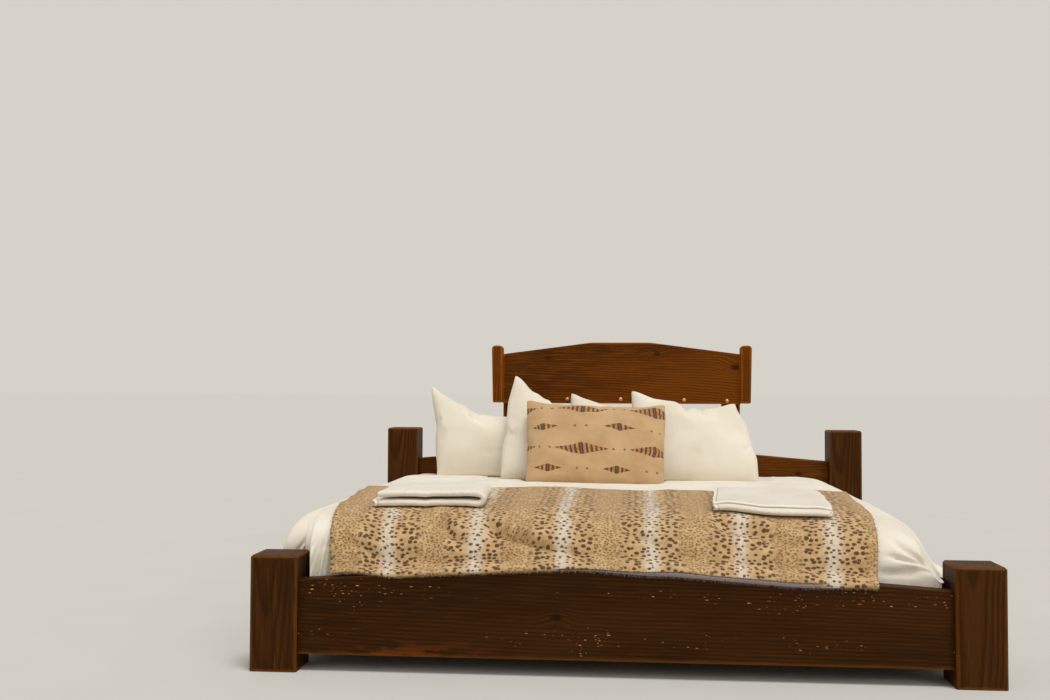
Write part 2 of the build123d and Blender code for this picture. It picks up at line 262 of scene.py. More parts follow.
def timber(node, grain, tone, seed=0.0, pith=(0.05, 0.16), ring=0.012, lift=0.03, knots=(),
           edge_highlight_amount=1.0, chips=False, glow=0.0):
    """Stained softwood for one piece: growth rings about a pith, fibres, a painted edge highlight
    and a painted light gradient.
    """
    finish = Finish(f"{node}_stain")
    low, high = boxes[node]
    half = (high - low) / 2
    axes = finish.split(finish.place(shift=tuple((low + high) / -2)))
    order = {"X": (0, 1, 2), "Y": (1, 0, 2), "Z": (2, 0, 1)}[grain]
    run, side, rise = (axes[axis] for axis in order)
    bend = finish.grain(run * 0.8 + seed, side * 2.5, rise * 2.5, 2.0) - 0.5
    swirl = finish.grain(run * 3.5 + seed, side * 9, rise * 9, 2.0) - 0.5
    knot_pull = 0.0
    knot_dark = 0.0
    for knot_run, knot_rise, radius in knots:
        far = (((run - knot_run) * 0.62) ** 2 + (rise - knot_rise) ** 2) ** 0.5 / radius
        knot_pull = knot_pull + far.below(0.0, 4.5) * (radius * 1.7)
        knot_dark = knot_dark + far.below(0.55, 1.25)
    off = (side + pith[0] + bend * 0.05) ** 2
    reach = (off + (rise - pith[1] + run * lift + bend * 0.07) ** 2) ** 0.5
    turn = ((reach + knot_pull + swirl * 0.012) / ring).math("FRACT")
    late = turn.above(0.2, 0.82) * turn.below(0.86, 1.0)
    fibre = finish.grain(run * 7 + seed, side * 150, rise * 150, 4.0, 0.7)
    fine = finish.grain(run * 30, side * 700, rise * 700, 2.0)
    blotch = finish.grain(run * 1.7 + seed, side * 8, rise * 8)
    # Nearness to the closest long edge: the middle one of the distances to the three faces
    gaps = [half[axis] - axes[axis].size() for axis in range(3)]
    least = gaps[0].math("MINIMUM", gaps[1]).math("MINIMUM", gaps[2])
    most = gaps[0].math("MAXIMUM", gaps[1]).math("MAXIMUM", gaps[2])
    edge = gaps[0] + gaps[1] + gaps[2] - least - most
    scuff = finish.grain(run * 14 + seed, side * 60, rise * 60, 3.0, 0.65)
    # Painted highlight: the long edges are drawn lighter and warmer, as if they caught the light.
    edge_highlight = (edge - scuff * 0.014).below(-0.004, 0.005) * edge_highlight_amount
    broad = finish.grain(run * 1.1 + seed * 3, side * 3, rise * 3.5, 1.0)
    # Painted light: glow adds a gradient across the piece, darker towards the upper left and
    # lighter towards the lower right.
    level = blotch * 0.6 + broad * 0.4 + (run * 0.6 - rise * 1.2) * glow
    colour = finish.mix(level.above(0.32, 0.68), tinted(tone, 0.55), tinted(tone, 1.38))
    colour = finish.mix(fibre.above(0.42, 0.72) * 0.75, colour, tinted(tone, 1.9))
    colour = finish.mix(late * 0.55 + fine.above(0.55, 0.8) * 0.35, colour, tinted(tone, 0.34))
    if knots:
        colour = finish.mix(knot_dark * 0.85, colour, tinted(tone, 0.22))
    edge_highlight_tone = (tone[0] * 2.7 + 0.02, tone[1] * 2.6 + 0.008, tone[2] * 2.0, 1.0)
    colour = finish.mix(edge_highlight * 0.7, colour, edge_highlight_tone)
    height = fibre * 0.6 - late * 0.5 + fine * 0.25
    if chips:
        colour, height = chipped(finish, colour, height, (run, rise), bend, swirl, scuff)
    material = finish.surface(
        Base_Color=colour, Roughness=0.48 + late * 0.1 + scuff * 0.12, Specular_IOR_Level=0.16,
        Normal=finish.bump(height, 0.0007, 0.8), Specular_Tint=(1.0, 0.62, 0.34, 1.0),
    )
    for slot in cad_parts[node].material_slots:
        slot.material = material


# The rails' tone is partly their darker stain and partly painted shade, the shade that falls on
# them from above.
rail_stain_and_shade = srgb(54, 28, 6)
post_tone = srgb(62, 33, 8)
board_tone = srgb(98, 53, 8)
headboard_tone = srgb(104, 54, 7)
deck_tone = srgb(120, 84, 48)
timber("front_rail", "X", rail_stain_and_shade, 0.0, (0.03, 0.26), 0.012, 0.02,
       knots=((-0.19, -0.015, 0.011),), chips=True)
timber("lower_back_rail", "X", board_tone, 3.1)
timber("back_board", "X", board_tone, 5.7, (0.04, 0.22), 0.013, -0.03, knots=((0.86, 0.03, 0.012),))
timber("headboard_panel", "X", headboard_tone, 9.2, (0.035, -0.2), 0.013, 0.045,
       knots=((0.178, 0.095, 0.012), (0.56, 0.03, 0.016), (-0.36, 0.075, 0.009)),
       edge_highlight_amount=0.7, glow=0.5)
for word, seed in (("left", 11.0), ("right", 14.0)):
    timber(f"headboard_block_{word}", "Z", headboard_tone, seed, (0.06, 0.05), 0.008)
    timber(f"headboard_leg_{word}", "Z", headboard_tone, seed + 1, (0.08, 0.05), 0.009)
    timber(f"post_front_{word}", "Z", post_tone, seed + 2, (0.02, 0.03), 0.009)
    timber(f"post_rear_{word}", "Z", post_tone, seed + 3, (0.03, 0.01), 0.009)
    timber(f"side_rail_{word}", "Y", rail_stain_and_shade, seed + 4, (0.03, 0.2), 0.012)
    timber(f"side_cleat_{word}", "Y", deck_tone, seed + 5, (0.05, 0.06), 0.009)
timber("headboard_cleat", "X", headboard_tone, 21.0, (0.05, 0.06), 0.009)
timber("centre_beam", "Y", deck_tone, 23.0, (0.05, 0.08), 0.009)
timber("centre_feet", "Z", deck_tone, 25.0, (0.05, 0.04), 0.009)
timber("deck_slats", "X", deck_tone, 27.0, (0.1, 0.3), 0.011, 0.05)


# Making pieces
def ease(low, high, value):
    """0 at low, 1 at high and a smooth step between, whichever of the two is larger."""
    share = min(1.0, max(0.0, (value - low) / (high - low)))
    return share * share * (3 - 2 * share)


def follow(points, value):
    """A smooth curve through (place, height) points, level beyond both ends."""
    for (near, start), (far, end) in zip(points, points[1:]):
        if value <= far:
            return start + (end - start) * ease(near, far, value)
    return points[-1][1]


def finished(bm, name, material, nodes):
    """A smooth piece made from a bmesh, which rides on the frame and stands for its CAD nodes."""
    piece = meshed(bm, name, material)
    for face in piece.data.polygons:
        face.use_smooth = True
    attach(piece, "root")
    if nodes:
        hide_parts(*nodes)
    return piece


def modified(piece, kind, **settings):
    """Gives a piece the shape that a modifier makes of it."""
    modifier = piece.modifiers.new(kind.lower(), kind)
    for key, value in settings.items():
        setattr(modifier, key, value)
    view = bpy.context.evaluated_depsgraph_get()
    mesh = bpy.data.meshes.new_from_object(piece.evaluated_get(view))
    piece.modifiers.clear()
    piece.data = mesh


def moved(bm, place_of):
    """Moves all points at once to the places that a function of each point gives."""
    places = [place_of(vertex) for vertex in bm.verts]
    for vertex, place in zip(bm.verts, places):
        vertex.co = place


def settle(piece, frames, **settings):
    """Runs a weightless cloth simulation on a piece and keeps where its points come to rest."""
    fabric = piece.modifiers.new("fabric", "CLOTH")
    for key, value in settings.items():
        setattr(fabric.settings, key, value)
    fabric.settings.effector_weights.gravity = 0.0
    fabric.point_cache.frame_end = frames
    for frame_number in range(1, frames + 1):
        scene.frame_set(frame_number)
    view = bpy.context.evaluated_depsgraph_get()
    places = [vertex.co.copy() for vertex in piece.evaluated_get(view).data.vertices]
    piece.modifiers.clear()
    for vertex, place in zip(piece.data.vertices, places):
        vertex.co = place
    scene.frame_set(1)


def cloth_grid(columns, rows, size, place):
    """A grid with a UV map in metres of flat cloth, moved into place by a function of it."""
    bm = bmesh.new()
    bmesh.ops.create_grid(bm, x_segments=columns, y_segments=rows, size=0.5)
    flat = bm.loops.layers.uv.new("cloth")
    for face in bm.faces:
        for loop in face.loops:
            across = loop.vert.co.x + 0.5
            along = loop.vert.co.y + 0.5
            loop[flat].uv = (across * size[0], along * size[1])
    for vertex in bm.verts:
        vertex.co = place(vertex.co.x + 0.5, vertex.co.y + 0.5)
    bm.normal_update()
    return bm


# Cotton and ticking
def cotton(name, tone, shade):
    """Woven cotton: a fine plain weave, faint creases and slow changes of tone."""
    finish = Finish(name)
    here = finish.place()
    x, y, z = finish.split(here)
    slow = finish.noise(here, 5.0)
    crease = finish.noise(finish.place(scale=(1, 1.6, 1)), 16.0, 4.0, 0.6, 0.6)
    thread_pitch = 0.0011
    turns = 2 * math.pi / thread_pitch
    thread = ((x + z) * turns).sine() * ((y - z) * turns).sine()
    colour = finish.mix(slow.above(0.35, 0.7), srgb(*tone), srgb(*shade))
    colour = finish.mix((thread * 0.5 + 0.5) * 0.07, colour, srgb(*(level * 0.8 for level in tone)))
    return finish.surface(
        Base_Color=colour, Roughness=0.86 + slow * 0.08, Sheen_Weight=0.15, Sheen_Roughness=0.5,
        Normal=finish.bump(crease + thread * 0.05, 0.0016, 0.6), Specular_IOR_Level=0.2,
    )


duvet_cotton = cotton("duvet_cotton", (243, 236, 220), (233, 224, 205))
pillow_cotton = cotton("pillow_cotton", (240, 232, 214), (230, 220, 199))

# Mattress
mattress_low, mattress_high = boxes["mattress"]
mattress_round = 0.06
mattress_corner = 0.10


def mattress_ticking():
    """Ticking with pale woven stripes and a quilted diamond relief."""
    finish = Finish("mattress_ticking")
    x, y, z = finish.split(finish.place())
    grain = finish.noise(finish.place(), 700.0, 2.0)
    quilt = ((x + y) * 28.0).sine().size().math("MINIMUM", ((x - y) * 28.0).sine().size())
    stripe = ((x + y) * 300.0).sine().above(0.72, 0.95)
    colour = finish.mix(stripe * 0.55, srgb(226, 221, 210), srgb(150, 152, 158))
    colour = finish.mix(grain * 0.2, colour, srgb(190, 184, 172))
    relief = finish.bump(quilt.above(0.0, 0.5) + grain * 0.05, 0.006, 0.7)
    return finish.surface(Base_Color=colour, Roughness=0.85 + grain * 0.1, Normal=relief)


def make_mattress():
    """A quilted king mattress with rounded corners and edges."""
    bm = bmesh.new()
    bmesh.ops.create_cube(bm, size=1.0)
    size = mattress_high - mattress_low
    middle = (mattress_high + mattress_low) / 2
    for vertex in bm.verts:
        vertex.co = Vector(size[axis] * vertex.co[axis] + middle[axis] for axis in range(3))

    def rise(edge):
        return abs(edge.verts[0].co.z - edge.verts[1].co.z)

    way = {"profile": 0.5, "affect": "EDGES", "material": -1}
    uprights = [edge for edge in bm.edges if rise(edge) > 0.1]
    bmesh.ops.bevel(bm, geom=uprights, offset=mattress_corner, segments=10, **way)
    rims = [edge for edge in bm.edges if rise(edge) < 0.001]
    bmesh.ops.bevel(bm, geom=rims, offset=mattress_round - 0.001, segments=8, **way)
    piece = finished(bm, "mattress_pad", mattress_ticking(), ("mattress",))


make_mattress()

# Duvet: a lofty quilt over the mattress and the side rails, tucked behind the front rail
duvet_low, duvet_high = boxes["duvet"]
post_gap = 0.003
post_half = boxes["post_front_right"][0].x - post_gap
post_front = boxes["post_front_right"][1].y + post_gap
post_back = boxes["post_rear_right"][0].y - post_gap
duvet_loft = duvet_high.z - 0.0015
duvet_rest = boxes["pillow_left_back"][0].z
pillow_front = duvet_high.y - 0.62
rail_top = boxes["side_rail_right"][1].z + 0.006
rail_reach = 1.062
quilt_thick = 0.034
nose_run = 0.199
nose_start = duvet_low.y + nose_run
nose_drop = 0.125
left_run = 0.175
left_drop = 0.21
foot_run = 0.54
throw_corners = ((-0.905, 0.779), (-0.990, 0.864))
# Where the pillows press the duvet down: the front of their seats, in X and Y
seat_line = ((-1.0, 0.785), (-0.64, 0.785), (-0.585, 0.600), (-0.455, 0.600), (-0.41, 0.47),
             (-0.26, 0.44), (-0.05, 0.402), (0.17, 0.402),
             (0.205, 0.604), (0.66, 0.604), (0.71, 0.90), (1.0, 0.90))
# The right side, full at mid-bed and drawn in at the foot: steps in from the edge, up from the hem
right_full = ((0, 0.036), (0.013, 0.108), (0.046, 0.178), (0.1, 0.226), (0.17, 0.258), (0.26, 0.27))
right_foot = ((0, 0.078), (0.04, 0.094), (0.105, 0.114), (0.145, 0.172), (0.182, 0.232),
              (0.26, 0.262), (0.355, 0.27))


def curve(points, steps):
    """Points along a smooth curve through the given ones."""
    points = [Vector(point) for point in points]
    ends = [points[0] * 2 - points[1], *points, points[-1] * 2 - points[-2]]
    made = []
    for before, near, far, after in zip(ends, ends[1:], ends[2:], ends[3:]):
        for step in range(steps):
            t = step / steps
            bend = 2 * before - 5 * near + 4 * far - after
            twist = 3 * near - before - 3 * far + after
            made.append(0.5 * (2 * near + (far - before) * t + bend * t * t + twist * t ** 3))
    return [*made, points[-1]]


def spaced(line, count, passes=3):
    """Points at equal steps along a line, after its corners are rounded."""
    points = [Vector(point) for point in line]
    for _ in range(passes):
        inner = [(a + b * 2 + c) / 4 for a, b, c in zip(points, points[1:], points[2:])]
        points = [points[0], *inner, points[-1]]
    lengths = [0.0]
    for first, second in zip(points, points[1:]):
        lengths.append(lengths[-1] + (second - first).length)
    made = []
    at = 0
    for step in range(count + 1):
        want = lengths[-1] * step / count
        while at < len(points) - 2 and lengths[at + 1] < want:
            at += 1
        share = (want - lengths[at]) / max(1e-9, lengths[at + 1] - lengths[at])
        made.append(points[at].lerp(points[at + 1], share))
    return made


def length_of(line):
    """The length of a line of points."""
    return sum((b - a).length for a, b in zip(line, line[1:]))


full_line = spaced(curve(right_full, 12), 60, 0)
foot_line = spaced(curve(right_foot, 12), 60, 0)
right_lines = {}


def right_fall(x, y):
    """How far the duvet's right side has fallen."""
    share = min(1.0, max(0.0, (y - duvet_low.y) / foot_run))
    key = round(share, 4)
    if key not in right_lines:
        right_lines[key] = [foot.lerp(full, share) for foot, full in zip(foot_line, full_line)]
    inwards = duvet_high.x - x
    line = right_lines[key]
    top = line[-1].y
    for near, far in zip(line, line[1:]):
        if inwards <= far.x:
            part = max(0.0, (inwards - near.x) / max(1e-6, far.x - near.x))
            return top - (near.y + (far.y - near.y) * part)
    return 0.0


def left_fall(x):
    """How far the duvet's left side has fallen: a full round shoulder."""
    share = min(1.0, max(0.0, (left_run - (x - duvet_low.x)) / left_run))
    return left_drop * (1 - (1 - share ** 3.2) ** (1 / 3.2))


def drawn_back(edge, behind_post, x):
    """Where the duvet's front or back edge is: it draws back beside the posts."""
    return edge + (behind_post - edge) * ease(0.982, post_half - 0.001, abs(x))


def nose(x, y):
    """How far the duvet's front has fallen at a point."""
    share = min(1.0, max(0.0, 1 - (y - drawn_back(duvet_low.y, post_front, x)) / nose_run))
    return nose_drop * (1 - math.sqrt(1 - share * share))


def mattress_over(x, y):
    """The height of the mattress' rounded top under a point, or the floor outside it."""
    inset_x = min(x - mattress_low.x, mattress_high.x - x)
    inset_y = min(y - mattress_low.y, mattress_high.y - y)
    if inset_x < mattress_corner and inset_y < mattress_corner:
        deep = mattress_corner - math.hypot(mattress_corner - inset_x, mattress_corner - inset_y)
    else:
        deep = min(inset_x, inset_y)
    if deep <= 0:
        return 0.0
    part = max(0.0, 1 - deep / mattress_round)
    return mattress_high.z - mattress_round * (1 - math.sqrt(1 - part * part))


def pressed_down(y):
    """How far the pillows press the duvet down, from 0 at the foot to 1 under them."""
    return ease(pillow_front - 0.34, pillow_front + 0.04, y)


def duvet_height(x, y):
    """The top of the puffed duvet, before its creases."""
    pressed = pressed_down(y)
    swollen = duvet_rest + 0.013
    level = duvet_loft + (swollen - duvet_loft) * pressed
    seat = follow(seat_line, x)
    level -= 0.013 * ease(seat - 0.035, seat + 0.012, y)
    level -= 0.009 * (1 - pressed) * ease(-0.96, -0.80, x)
    level -= 0.008 * (1 - pressed) * ease(0.1, 0.5, x) * (1 - ease(-0.75, -0.2, y))
    side = left_fall(x) if x < 0 else right_fall(x, y)
    level -= (nose(x, y) ** 3 + side ** 3) ** (1 / 3)
    above = mattress_over(x, y) + 0.008
    if abs(x) < rail_reach:
        above = max(above, rail_top)
    return max(level, above, duvet_low.z + 0.004)


# Creases drawn in the front view: start and end in X and Z, depth and half width in metres
front_creases = (
    ((0.843, 0.422), (0.935, 0.362), 0.013, 0.008),
    ((0.831, 0.382), (0.930, 0.356), 0.013, 0.007),
    ((0.870, 0.345), (0.950, 0.335), 0.008, 0.008),
    ((0.803, 0.328), (0.905, 0.328), 0.010, 0.009),
    ((0.879, 0.449), (0.945, 0.428), 0.007, 0.006),
)
left_pleats = ((-0.921, 0.016), (-0.938, 0.013), (-0.960, 0.019), (-0.980, 0.010),
               (-1.004, 0.014), (-1.028, 0.011), (-1.052, 0.014), (-1.078, 0.010))


def crease(x, z, start, end, width):
    """How much of a crease's depth a point of the front view gets."""
    run = (end[0] - start[0], end[1] - start[1])
    length = math.hypot(*run)
    along = ((x - start[0]) * run[0] + (z - start[1]) * run[1]) / length
    off = abs((x - start[0]) * run[1] - (z - start[1]) * run[0]) / length
    ends = ease(-0.03, 0.03, along) * (1 - ease(length - 0.02, length + 0.03, along))
    return math.exp(-((off / width) ** 2)) * ends


# Hollows drawn across the bed's front, in X and Z, where the throw and the duvet sink together
front_hollows = (
    ((-0.585, 0.448), (-0.49, 0.400), 0.020, 0.016),
    ((-0.405, 0.428), (-0.205, 0.376), 0.025, 0.014),
    ((-0.165, 0.376), (-0.09, 0.350), 0.012, 0.014),
    ((0.31, 0.452), (0.50, 0.420), 0.019, 0.014),
    ((0.40, 0.398), (0.62, 0.405), 0.010, 0.012),
    ((-0.86, 0.395), (-0.74, 0.350), 0.014, 0.014),
    ((0.02, 0.440), (0.14, 0.385), 0.011, 0.015),
)


def hollow(x, y, z):
    """How far the bed's front sinks at a point, along its normal."""
    front = 1 - ease(-0.90, -0.78, y)
    if front == 0.0 or not throw_corners[0][0] < x < throw_corners[0][1]:
        return 0.0
    fade = ease(throw_corners[0][0], throw_corners[0][0] + 0.03, x)
    fade *= ease(0.0, 0.03, throw_corners[0][1] - x)
    return front * fade * sum(deep * crease(x, z, a, b, wide) for a, b, deep, wide in front_hollows)


def duvet_relief(point, normal):
    """How far a point of the duvet sinks along its normal: puffs, wrinkles, pleats and creases."""
    x, y, z = point
    puff = noise.noise(Vector((x * 2.3, y * 2.6, 1.7))) * 0.5 + 0.5
    sink = 0.006 * puff * (1 - 0.8 * pressed_down(y))
    swirl = Vector((x * 6 + y * 2.5, y * 8, z * 8))
    sink += 0.0042 * (1 - abs(noise.noise(swirl) * 2.2)) ** 3 * (0.4 + noise.noise(point * 1.7))
    upright = 1 - ease(0.35, 0.85, abs(normal.z))
    hanging = upright * (1 - ease(0.36, 0.45, z))
    around = noise.noise(Vector((x * 17, y * 13, z * 1.6 + 4)))
    sink += hanging * (0.004 + 0.006 * around)
    near_front = 1 - ease(-0.98, -0.72, y)
    for place, depth in left_pleats:
        fade = 1 - ease(0.38, 0.455, z)
        drift = (place + 0.9) * 0.35 * (z - 0.3) / 0.1
        sink += near_front * fade * depth * math.exp(-(((x - place + drift) / 0.0068) ** 2))
    for start, end, depth, width in front_creases:
        sink += near_front * depth * crease(x, z, start, end, width)
    return sink + hollow(x, y, z)


def quilt_room(x, y, z):
    """How far the quilt may sink at a point, with what is under and beside it."""
    under = mattress_over(x, y)
    room = max(0.0, z - under - 0.008) if z > under else 0.02
    if abs(x) < rail_reach and y > -1.0 and z < rail_top + 0.03:
        room = min(room, max(0.0, z - rail_top + 0.002))
    if 0.88 < abs(x) < 1.02 and y < -0.90:
        room = min(room, 0.024 - 0.022 * ease(0.970, 0.985, abs(x)))
    by_post = ease(post_back - 0.14, post_back - 0.06, y)
    if x > 0.0:
        by_post = max(by_post, 1 - ease(post_front + 0.05, post_front + 0.13, y))
    room = min(room, 0.003 + 0.021 * (1 - by_post * ease(0.94, 0.97, abs(x))))
    if x > 1.0:
        room = min(room, 0.003 + 0.021 * ease(-0.60, -0.40, y))
    return room


def quilt_wadding(x, y, z):
    """How thick the quilt is at a point: thin beside the posts and in the pleats."""
    if x < -0.90 and y < -0.90 and z < 0.46:
        return 0.003
    if x > 1.0 and y < -0.45:
        return 0.006
    if abs(x) > 0.94 and (y > post_back - 0.14 or x > 0.0 and y < post_front + 0.12):
        return 0.004
    under = mattress_over(x, y)
    if z < under or under == 0.0 and abs(x) < 1.0:
        return 0.009
    room = z - max(under, rail_top if abs(x) < rail_reach else 0.0) - 0.001
    return min(quilt_thick, max(0.007, room))


def steps_along(parts):
    """Where a grid's lines lie, from lines in place and height with the number of steps in each."""
    places = []
    for line, count in parts:
        places += [point.x for point in spaced(line, count)[1 if places else 0:]]
    return places


def make_duvet():
    """The quilt's top at its height, its sides drawn down, and its wadding's thickness."""
    turns = [math.radians(turn) for turn in range(0, 91, 3)]
    left = [(duvet_low.x + left_run * (1 - math.cos(turn)), left_drop * math.sin(turn))
            for turn in turns]
    left.append((throw_corners[0][0], left_drop))
    right = [(duvet_high.x - point.x, point.y) for point in reversed(full_line)]
    front = [(nose_start - nose_run * math.cos(turn), nose_drop * math.sin(turn)) for turn in turns]
    places_x = steps_along(((left, 88), ((left[-1], right[0]), 104), (right, 62)))
    places_y = steps_along(((front, 40), ((front[-1], (duvet_high.y, nose_drop)), 110)))
    columns, rows = len(places_x) - 1, len(places_y) - 1
    wide, deep = duvet_high.x - duvet_low.x, duvet_high.y - duvet_low.y

    def spread(across, along):
        x = places_x[round(across * columns)]
        share = (places_y[round(along * rows)] - duvet_low.y) / deep
        front = drawn_back(duvet_low.y, post_front, x)
        y = front + (drawn_back(duvet_high.y, post_back, x) - front) * share
        return Vector((x, y, duvet_height(x, y)))

    bm = cloth_grid(columns, rows, (wide, deep), spread)
    rim = [edge for edge in bm.edges if edge.is_boundary]
    rim = [edge for edge in rim if min(v.co.y for v in edge.verts) < duvet_high.y - 0.004]
    for steps_left in range(14, 0, -1):
        grown = bmesh.ops.extrude_edge_only(bm, edges=rim)["geom"]
        fresh = {item for item in grown if isinstance(item, bmesh.types.BMVert)}
        for vertex in fresh:
            over_rail = post_half - 0.002 < abs(vertex.co.x) < rail_reach
            hem = rail_top if over_rail else duvet_low.z
            vertex.co.z -= (vertex.co.z - hem) / steps_left
        rim = [item for item in grown if isinstance(item, bmesh.types.BMEdge)]
        rim = [edge for edge in rim if edge.verts[0] in fresh and edge.verts[1] in fresh]
    bmesh.ops.recalc_face_normals(bm, faces=bm.faces)
    bm.normal_update()

    def sunk(vertex):
        sink = min(duvet_relief(vertex.co, vertex.normal), quilt_room(*vertex.co))
        return vertex.co - vertex.normal * sink

    moved(bm, sunk)
    wadding = bm.verts.layers.deform.verify()
    for vertex in bm.verts:
        vertex[wadding][0] = quilt_wadding(*vertex.co) / quilt_thick
    piece = finished(bm, "duvet_quilt", duvet_cotton, ("duvet",))
    piece.vertex_groups.new(name="wadding")
    modified(piece, "SOLIDIFY", thickness=quilt_thick, offset=-1, vertex_group="wadding")


make_duvet()

# Throw: spotted plush over the duvet's foot and the front rail's crown
rail_low, rail_high = boxes["front_rail"]
throw_near = boxes["bed_throw"][0].y
throw_far = boxes["bed_throw"][1].y
throw_half_thick = 0.0055
throw_size = (1.78, 1.13)
# The hem's height over the rail's top, along X
throw_hem = ((-0.9, -0.004), (-0.64, -0.006), (-0.36, -0.008), (-0.15, -0.012), (0.13, -0.026),
             (0.52, -0.027), (0.8, -0.009))


def throw_path(x):
    """The throw's line from its hem up over the rail and the duvet, in Y and Z."""
    top = rail_high.z - 0.057 * max(0.0, abs(x) - 0.155) / 0.845
    front = rail_low.y - throw_half_thick - 0.001
    over = top + throw_half_thick + 0.001
    hem = top + follow(throw_hem, x)
    line = [(front, hem - 0.012), (front, hem + 0.3 * (over - hem)), (front + 0.003, over - 0.003)]
    for run, rise in ((0.010, 0.001), (0.030, 0.002), (0.042, 0.010)):
        line.append((rail_low.y + run, over + rise))
    grow = throw_half_thick + 0.0015
    flat_top = duvet_height(x, nose_start)
    low_angle = math.acos(max(0.0, 1 - (flat_top - over - 0.02) / nose_drop))
    turns = 14
    for turn in range(turns + 1):
        angle = low_angle * (1 - turn / turns)
        fall = (nose_drop + grow) * (1 - math.cos(angle))
        line.append((nose_start - (nose_run + grow) * math.sin(angle), flat_top + grow - fall))
    count = 40
    for step in range(1, count + 1):
        y = nose_start + (throw_far - nose_start) * step / count
        line.append((y, duvet_height(x, y) + grow))
    # At the far left the hem stays on the rail's top, behind its front edge
    spare = 0.030 * (1 - ease(-0.86, -0.68, x))
    points = 700
    fine = spaced(line, points, 2)
    return fine[round((0.012 + spare) / (length_of(fine) / points)):]


def spotted_fur():
    """Short tan plush with pale stripes front to back, and dark spots that crowd beside them."""
    finish = Finish("spotted_plush")
    u, v, _ = finish.split(finish.place(source="UV"))
    stray = finish.grain(u * 9, v * 9, 0.0, 2.0) - 0.5
    stripe_pitch = 0.289
    lane = ((u - 0.4855 + stray * 0.03) / stripe_pitch + 2.5).math("FRACT")
    off = (lane - 0.5).size() * stripe_pitch
    pale = (off + stray * 0.03).below(-0.006, 0.046)
    nest = off.above(0.03, 0.055) * off.below(0.085, 0.115)
    fray = finish.grain(u * 260, v * 260, 0.0, 2.0) - 0.5
    fray_two = finish.grain(u * 260 + 40, v * 260, 0.0, 2.0) - 0.5
    brushed = finish.join(u + fray * 0.0065, (v + fray_two * 0.0055) * 1.45)
    big_pick = finish.split(finish.cells(brushed, 46.0, 0.8, "Color"))[0]
    size_big = 0.22 + big_pick * 0.15 + nest * 0.06 - pale * 0.05
    dark = (finish.cells(brushed, 46.0, 0.8) - size_big).below(-0.1, 0.06)
    soft = (finish.cells(brushed, 84.0, 0.85) - 0.325).below(-0.1, 0.06) * 0.8
    zone = (off + stray * 0.05).below(0.085, 0.125)
    spots = dark * zone + soft * (1 - zone)
    mottle = finish.grain(u * 24, v * 24)
    colour = finish.mix(mottle.above(0.3, 0.7), srgb(224, 186, 132), srgb(202, 160, 106))
    colour = finish.mix(pale * (0.95 - mottle * 0.3), colour, srgb(240, 230, 211))
    colour = finish.mix(spots * (0.95 - (1 - zone) * 0.1), colour, srgb(78, 50, 28))
    hair = finish.grain(u * 420, v * 300, 0.0, 3.0, 0.7)
    tuft = finish.grain(u * 85, v * 85, 0.0, 3.0, 0.7, 0.8)
    colour = finish.mix(hair.above(0.45, 0.8) * 0.28, colour, srgb(246, 228, 196))
    # Painted shade: the plush is darker where its tufts sink, in the hollows of the pile.
    colour = finish.mix(tuft.below(0.3, 0.5) * 0.3, colour, srgb(110, 76, 46))
    # The mauve lining turns up along the right half of the hem, with a line of shade above it
    lined = (u - 0.74).above(0.0, 0.03) * (u - 1.58).below(0.0, 0.06)
    level = v + fray * 0.012 + stray * 0.008 - 0.0015 - (u - 0.74).above(0.0, 0.45) * 0.012
    nap = finish.mix(hair.above(0.35, 0.65), srgb(122, 106, 102), srgb(182, 166, 158))
    colour = finish.mix(level.below(0.0, 0.002) * lined, colour, nap)
    colour = finish.mix(level.size().below(0.001, 0.003) * lined * 0.75, colour, srgb(58, 40, 30))
    return finish.surface(
        Base_Color=colour, Roughness=0.92, Normal=finish.bump(tuft + hair * 0.5, 0.006, 0.9),
        Sheen_Weight=0.18, Sheen_Roughness=0.5, Specular_IOR_Level=0.12,
    )


def throw_swell(x, y, z):
    """Soft undulations that lift the throw off what it lies on, less in its hollows."""
    wave = noise.noise(Vector((x * 2.9 + y * 1.6, y * 3.0, 0.3 + z)))
    fold = 1 - abs(noise.noise(Vector((x * 4.6 - y * 2.4, y * 3.2 + z * 3, 7.7)))) * 3
    ripple = noise.noise(Vector((x * 9, y * 7 + z * 4, 2.2)))
    lift = 0.006 + 0.007 * wave + 0.005 * max(0.0, fold) + 0.002 * ripple
    sunk = hollow(x, y, z)
    crest = max(0.0, hollow(x + 0.008, y, z - 0.026) - sunk * 1.2)
    return max(0.0, lift * (1 - min(1.0, sunk * 60))) + 0.55 * crest - 0.85 * sunk


def fringe_plush():
    """Tufts of tan plush, and of the mauve lining along the right half of the hem."""
    finish = Finish("fringe_plush")
    x, y, z = finish.split(finish.place())
    tuft = finish.noise(finish.place(), 260.0, 2.0)
    colour = finish.mix(tuft.above(0.35, 0.65), srgb(226, 196, 150), srgb(150, 112, 70))
    lined = (x + 0.12).above(0.0, 0.08) * (x - 0.67).below(0.0, 0.06)
    lining = finish.mix(tuft.above(0.35, 0.65), srgb(168, 156, 152), srgb(110, 98, 96))
    colour = finish.mix(lined * (y - rail_low.y).below(0.0, 0.01), colour, lining)
    return finish.surface(Base_Color=colour, Roughness=0.9 + tuft * 0.05, Specular_IOR_Level=0.15)


